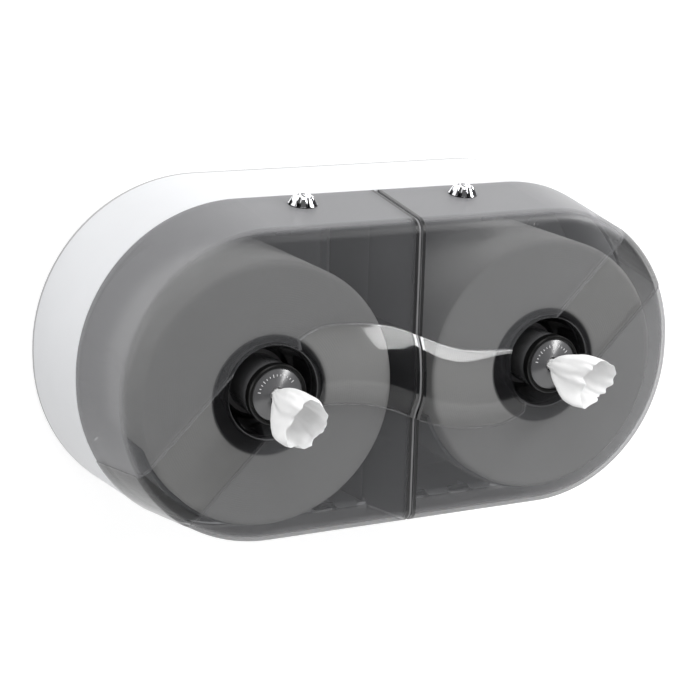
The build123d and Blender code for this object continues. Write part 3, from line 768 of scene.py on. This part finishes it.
@dataclass
class DiscTicks:
    """A plain arc of raised ticks on a nozzle's disc."""

    side: Side
    radius: float = 15.2 * MM
    count: int = 13
    start: float = 38.0
    end: float = 168.0
    long: float = 2.4 * MM
    wide: float = 0.55 * MM
    proud: float = 0.12 * MM

    def build(self, finishes: Finishes) -> bpy.types.Object:
        """Makes the ticks as one piece.

        Returns:
            The ticks' object.
        """
        mesh = bmesh.new()
        centre = LAYOUT.bowl_centre(self.side, LAYOUT.disc_depth)
        for index in range(self.count):
            angle = math.radians(self.start + (self.end - self.start) * index / (self.count - 1))
            long = self.long * (1.0 if index % 3 == 0 else 0.62)
            spot = centre + Vector((math.cos(angle), 0.0, math.sin(angle))) * self.radius
            place = (
                Matrix.Translation(spot)
                @ Matrix.Rotation(-angle, 4, "Y")
                @ Matrix.Diagonal((long, 2 * self.proud, self.wide, 1.0))
            )
            bmesh.ops.create_cube(mesh, size=1.0, matrix=place)
        bmesh.ops.bevel(
            mesh,
            geom=list(mesh.edges),
            offset=0.05 * MM,
            segments=2,
            affect="EDGES",
            profile=0.5,
            material=-1,
        )
        return finishes.piece(
            f"{self.side.word}_disc_ticks", mesh, "disc_dark", f"{self.side.word}_cover", "tick_print"
        )


@dataclass
class Studio:
    """A pale sweep behind and below the object, soft lamps and an even surround."""

    wall_y: float = 0.0015
    floor_z: float = -0.42
    half_width: float = 4.0
    wall_height: float = 3.2
    floor_reach: float = 4.5
    bend: float = 0.25
    bright_reach: float = 0.75
    dark_reach: float = 1.05

    def sweep_material(self) -> bpy.types.Material:
        """A pale matt surface that shows its front only, white to the camera, with a painted reflection: it glows in
        reflections near the wall and is near black in reflections farther out.
        """
        material = bpy.data.materials.new("studio_paper")
        material.use_nodes = True
        graph = Graph(material.node_tree)
        nodes = material.node_tree.nodes
        shader = nodes["Principled BSDF"]
        shader.inputs["Roughness"].default_value = 0.95
        shader.inputs["Specular IOR Level"].default_value = 0.0
        tone = graph.mix(graph.noise(graph.place(), 6.0), (0.50, 0.50, 0.50), (0.52, 0.52, 0.52))
        shader.inputs["Emission Color"].default_value = (1.0, 1.0, 1.0, 1.0)
        path = graph.add("LightPath")
        _, y, _ = graph.split(graph.place())
        # Painted reflection: glossy rays see the sweep glow near the wall and near black farther out.
        near = graph.ramp(y, -self.dark_reach, -self.bright_reach)
        mirrored = graph.maths("MULTIPLY", path.outputs["Is Glossy Ray"], near)
        seen = graph.maths("MAXIMUM", path.outputs["Is Camera Ray"], path.outputs["Is Transmission Ray"])
        seen = graph.maths("MAXIMUM", seen, mirrored)
        dimmed = graph.maths("SUBTRACT", path.outputs["Is Glossy Ray"], mirrored)
        graph.feed(graph.mix(dimmed, tone, (0.05, 0.05, 0.05)), shader.inputs["Base Color"])
        graph.feed(graph.maths("MULTIPLY", seen, 0.70), shader.inputs["Emission Strength"])
        see_through = graph.add("BsdfTransparent")
        back = graph.add("NewGeometry").outputs["Backfacing"]
        mixed = graph.add("MixShader")
        graph.feed(back, mixed.inputs[0])
        graph.tree.links.new(shader.outputs[0], mixed.inputs[1])
        graph.tree.links.new(see_through.outputs[0], mixed.inputs[2])
        graph.tree.links.new(mixed.outputs[0], nodes["Material Output"].inputs["Surface"])
        return material

    def build_sweep(self) -> bpy.types.Object:
        """Draws the sweep's section and extrudes it across.

        Returns:
            The sweep's object.
        """
        mesh = bmesh.new()
        turn = 16
        section = [(self.wall_y, self.wall_height)]
        for index in range(turn + 1):
            angle = math.pi / 2 * index / turn
            y = self.wall_y - self.bend * (1.0 - math.cos(angle))
            section.append((y, self.floor_z + self.bend * (1.0 - math.sin(angle))))
        section.append((-self.floor_reach, self.floor_z))
        verts = [mesh.verts.new((-self.half_width, y, z)) for y, z in section]
        edges = [mesh.edges.new(pair) for pair in zip(verts, verts[1:])]
        grown = bmesh.ops.extrude_edge_only(mesh, edges=edges)["geom"]
        moved = [item for item in grown if isinstance(item, bmesh.types.BMVert)]
        bmesh.ops.translate(mesh, verts=moved, vec=(2 * self.half_width, 0.0, 0.0))
        bmesh.ops.recalc_face_normals(mesh, faces=mesh.faces)
        mesh.faces.ensure_lookup_table()
        if mesh.faces[0].normal.y > 0.0:
            bmesh.ops.reverse_faces(mesh, faces=mesh.faces)
        data = bpy.data.meshes.new("studio_sweep")
        mesh.to_mesh(data)
        mesh.free()
        for polygon in data.polygons:
            polygon.use_smooth = True
        data.materials.append(self.sweep_material())
        sweep = bpy.data.objects.new("studio_sweep", data)
        bpy.context.scene.collection.objects.link(sweep)
        return sweep

    def lamp(self, name: str, place: Vector, size: tuple[float, float], power: float, aim: Vector) -> None:
        """Adds one soft rectangular lamp aimed at a point."""
        data = bpy.data.lights.new(name, "AREA")
        data.shape = "RECTANGLE"
        data.size, data.size_y = size
        data.energy = power
        made = bpy.data.objects.new(name, data)
        made.location = place
        made.rotation_euler = (aim - place).to_track_quat("-Z", "Y").to_euler()
        bpy.context.scene.collection.objects.link(made)

    def build_lamps(self) -> None:
        """Adds an overhead lamp, a fill on the left and two that shine in the wave's upper flank."""
        aim = Vector((0.0, -0.08, 0.0))
        self.lamp("key_lamp", Vector((1.16, -0.91, 0.86)), (0.80, 0.42), 15.0, aim)
        self.lamp("streak_lamp", Vector((0.86, -1.57, 0.41)), (0.20, 0.33), 2.9, aim)
        self.lamp("fill_lamp", Vector((-2.2, -0.9, 0.6)), (1.2, 1.2), 12.0, aim)
        self.lamp("top_lamp", Vector((-0.45, -0.50, 1.5)), (1.6, 0.8), 10.0, aim)

    def build_world(self) -> None:
        """Sets an even grey surround, white to the camera and dim in reflections."""
        world = bpy.data.worlds.new("studio_surround")
        bpy.context.scene.world = world
        world.use_nodes = True
        graph = Graph(world.node_tree)
        background = world.node_tree.nodes["Background"]
        background.inputs["Color"].default_value = (1.0, 1.0, 1.0, 1.0)
        path = graph.add("LightPath")
        mirrored = graph.maths("MULTIPLY_ADD", path.outputs["Is Glossy Ray"], -0.45, 0.56)
        graph.feed(graph.maths("MULTIPLY_ADD", path.outputs["Is Camera Ray"], 0.44, mirrored), background.inputs["Strength"])

    def build(self) -> None:
        """Builds the sweep, the lamps and the surround."""
        self.build_sweep()
        self.build_lamps()
        self.build_world()


@dataclass(frozen=True)
class PhotoCamera:
    """The camera at the photograph's place, for a frame 700 pixels wide."""

    place: Vector = field(default_factory=lambda: Vector((-0.6822, -1.38532, 0.38513)))
    yaw: float = 0.4607
    pitch: float = -0.2663
    roll: float = 0.0241
    focal: float = 1883.11
    centre: tuple[float, float] = (327.33, 367.29)
    frame_size: float = 700.0
    sensor: float = 36.0

    def build(self) -> bpy.types.Object:
        """Makes the camera and gives it to the scene.

        Returns:
            The camera's object.
        """
        ahead = Vector(
            (
                math.sin(self.yaw) * math.cos(self.pitch),
                math.cos(self.yaw) * math.cos(self.pitch),
                math.sin(self.pitch),
            )
        )
        right = Vector((math.cos(self.yaw), -math.sin(self.yaw), 0.0))
        up = right.cross(ahead)
        rolled_right = right * math.cos(self.roll) + up * math.sin(self.roll)
        rolled_up = up * math.cos(self.roll) - right * math.sin(self.roll)
        data = bpy.data.cameras.new("photo_camera")
        data.sensor_fit = "HORIZONTAL"
        data.sensor_width = self.sensor
        data.lens = self.focal / self.frame_size * self.sensor
        half = self.frame_size / 2
        data.shift_x = (half - self.centre[0]) / self.frame_size
        data.shift_y = (self.centre[1] - half) / self.frame_size
        data.clip_end = 50.0
        data.dof.use_dof = False
        camera = bpy.data.objects.new("photo_camera", data)
        turn = Matrix((rolled_right, rolled_up, -ahead)).transposed().to_4x4()
        camera.matrix_world = Matrix.Translation(self.place) @ turn
        bpy.context.scene.collection.objects.link(camera)
        bpy.context.scene.camera = camera
        return camera


@dataclass
class Dispenser:
    """The dispenser's new pieces and the finishes of its CAD nodes."""

    finishes: Finishes = field(default_factory=Finishes)

    def left_tail(self) -> TissueTail:
        """The left tail, a short cup that opens to the front and down."""
        stations = (
            Station(-19.0, 0.0, 0.0, 4.2, 4.2, 0.9),
            Station(0.0, 0.0, 0.0, 4.4, 4.4, 1.0),
            Station(6.0, 3.5, -4.0, 9.5, 10.0, 1.2),
            Station(13.0, 7.5, -9.5, 15.0, 16.5, 1.3),
            Station(21.0, 11.5, -13.5, 16.5, 18.5, 1.2),
            Station(26.0, 14.0, -15.5, 14.5, 16.5, 1.0),
        )
        rim = ((-135.0, 5.0, 18.0), (-85.0, 4.0, 14.0), (100.0, -3.0, 30.0), (20.0, 1.0, 30.0))
        bulge = ((-145.0, 8.0, 26.0), (-98.0, 3.0, 12.0))
        return TissueTail(Side.LEFT, stations, 6.0, 14.0, rim, bulge, pleats=7, seed=1.7)

    def right_tail(self) -> TissueTail:
        """The right tail, a flat scoop with a torn tip."""
        stations = (
            Station(-19.0, 0.0, 0.0, 4.2, 4.2, 0.9),
            Station(0.0, 0.0, 0.0, 4.4, 4.4, 0.9),
            Station(5.0, 5.0, -0.5, 8.5, 8.0, 0.9),
            Station(10.0, 13.5, -3.5, 13.0, 13.0, 1.0),
            Station(16.0, 24.0, -7.5, 15.5, 16.5, 1.0),
            Station(20.0, 31.0, -10.0, 14.5, 16.0, 0.9),
        )
        rim = ((-115.0, 5.0, 16.0), (60.0, 2.0, 30.0), (180.0, -3.0, 30.0))
        bulge = ((-128.0, 11.0, 16.0), (-5.0, 4.0, 32.0))
        return TissueTail(
            Side.RIGHT, stations, 12.0, 8.0, rim, bulge, seed=4.1, crumple=1.4 * MM, flat_area=0.0036
        )

    def build(self) -> None:
        """Dresses the CAD nodes and adds every new piece."""
        self.finishes.dress_nodes()
        log.info("dressed %d CAD nodes", len(frame["nodes"]))
        for side in Side:
            roll = WoundRoll(side).build(self.finishes)
            log.info("made %s with %d faces", roll.name, len(roll.data.polygons))
            ticks = DiscTicks(side).build(self.finishes)
            log.info("made %s", ticks.name)
        for tail in (self.left_tail(), self.right_tail()):
            made = tail.build(self.finishes)
            log.info("made %s with %d faces", made.name, len(made.data.polygons))


def main() -> None:
    """Builds the scene."""
    logging.basicConfig(level=logging.INFO)
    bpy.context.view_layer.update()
    camera = PhotoCamera().build()
    log.info("camera at %s", tuple(round(part, 4) for part in camera.location))
    Dispenser().build()
    Studio().build()
    bpy.context.scene.view_settings.view_transform = "Standard"


if __name__ == "__main__":
    main()
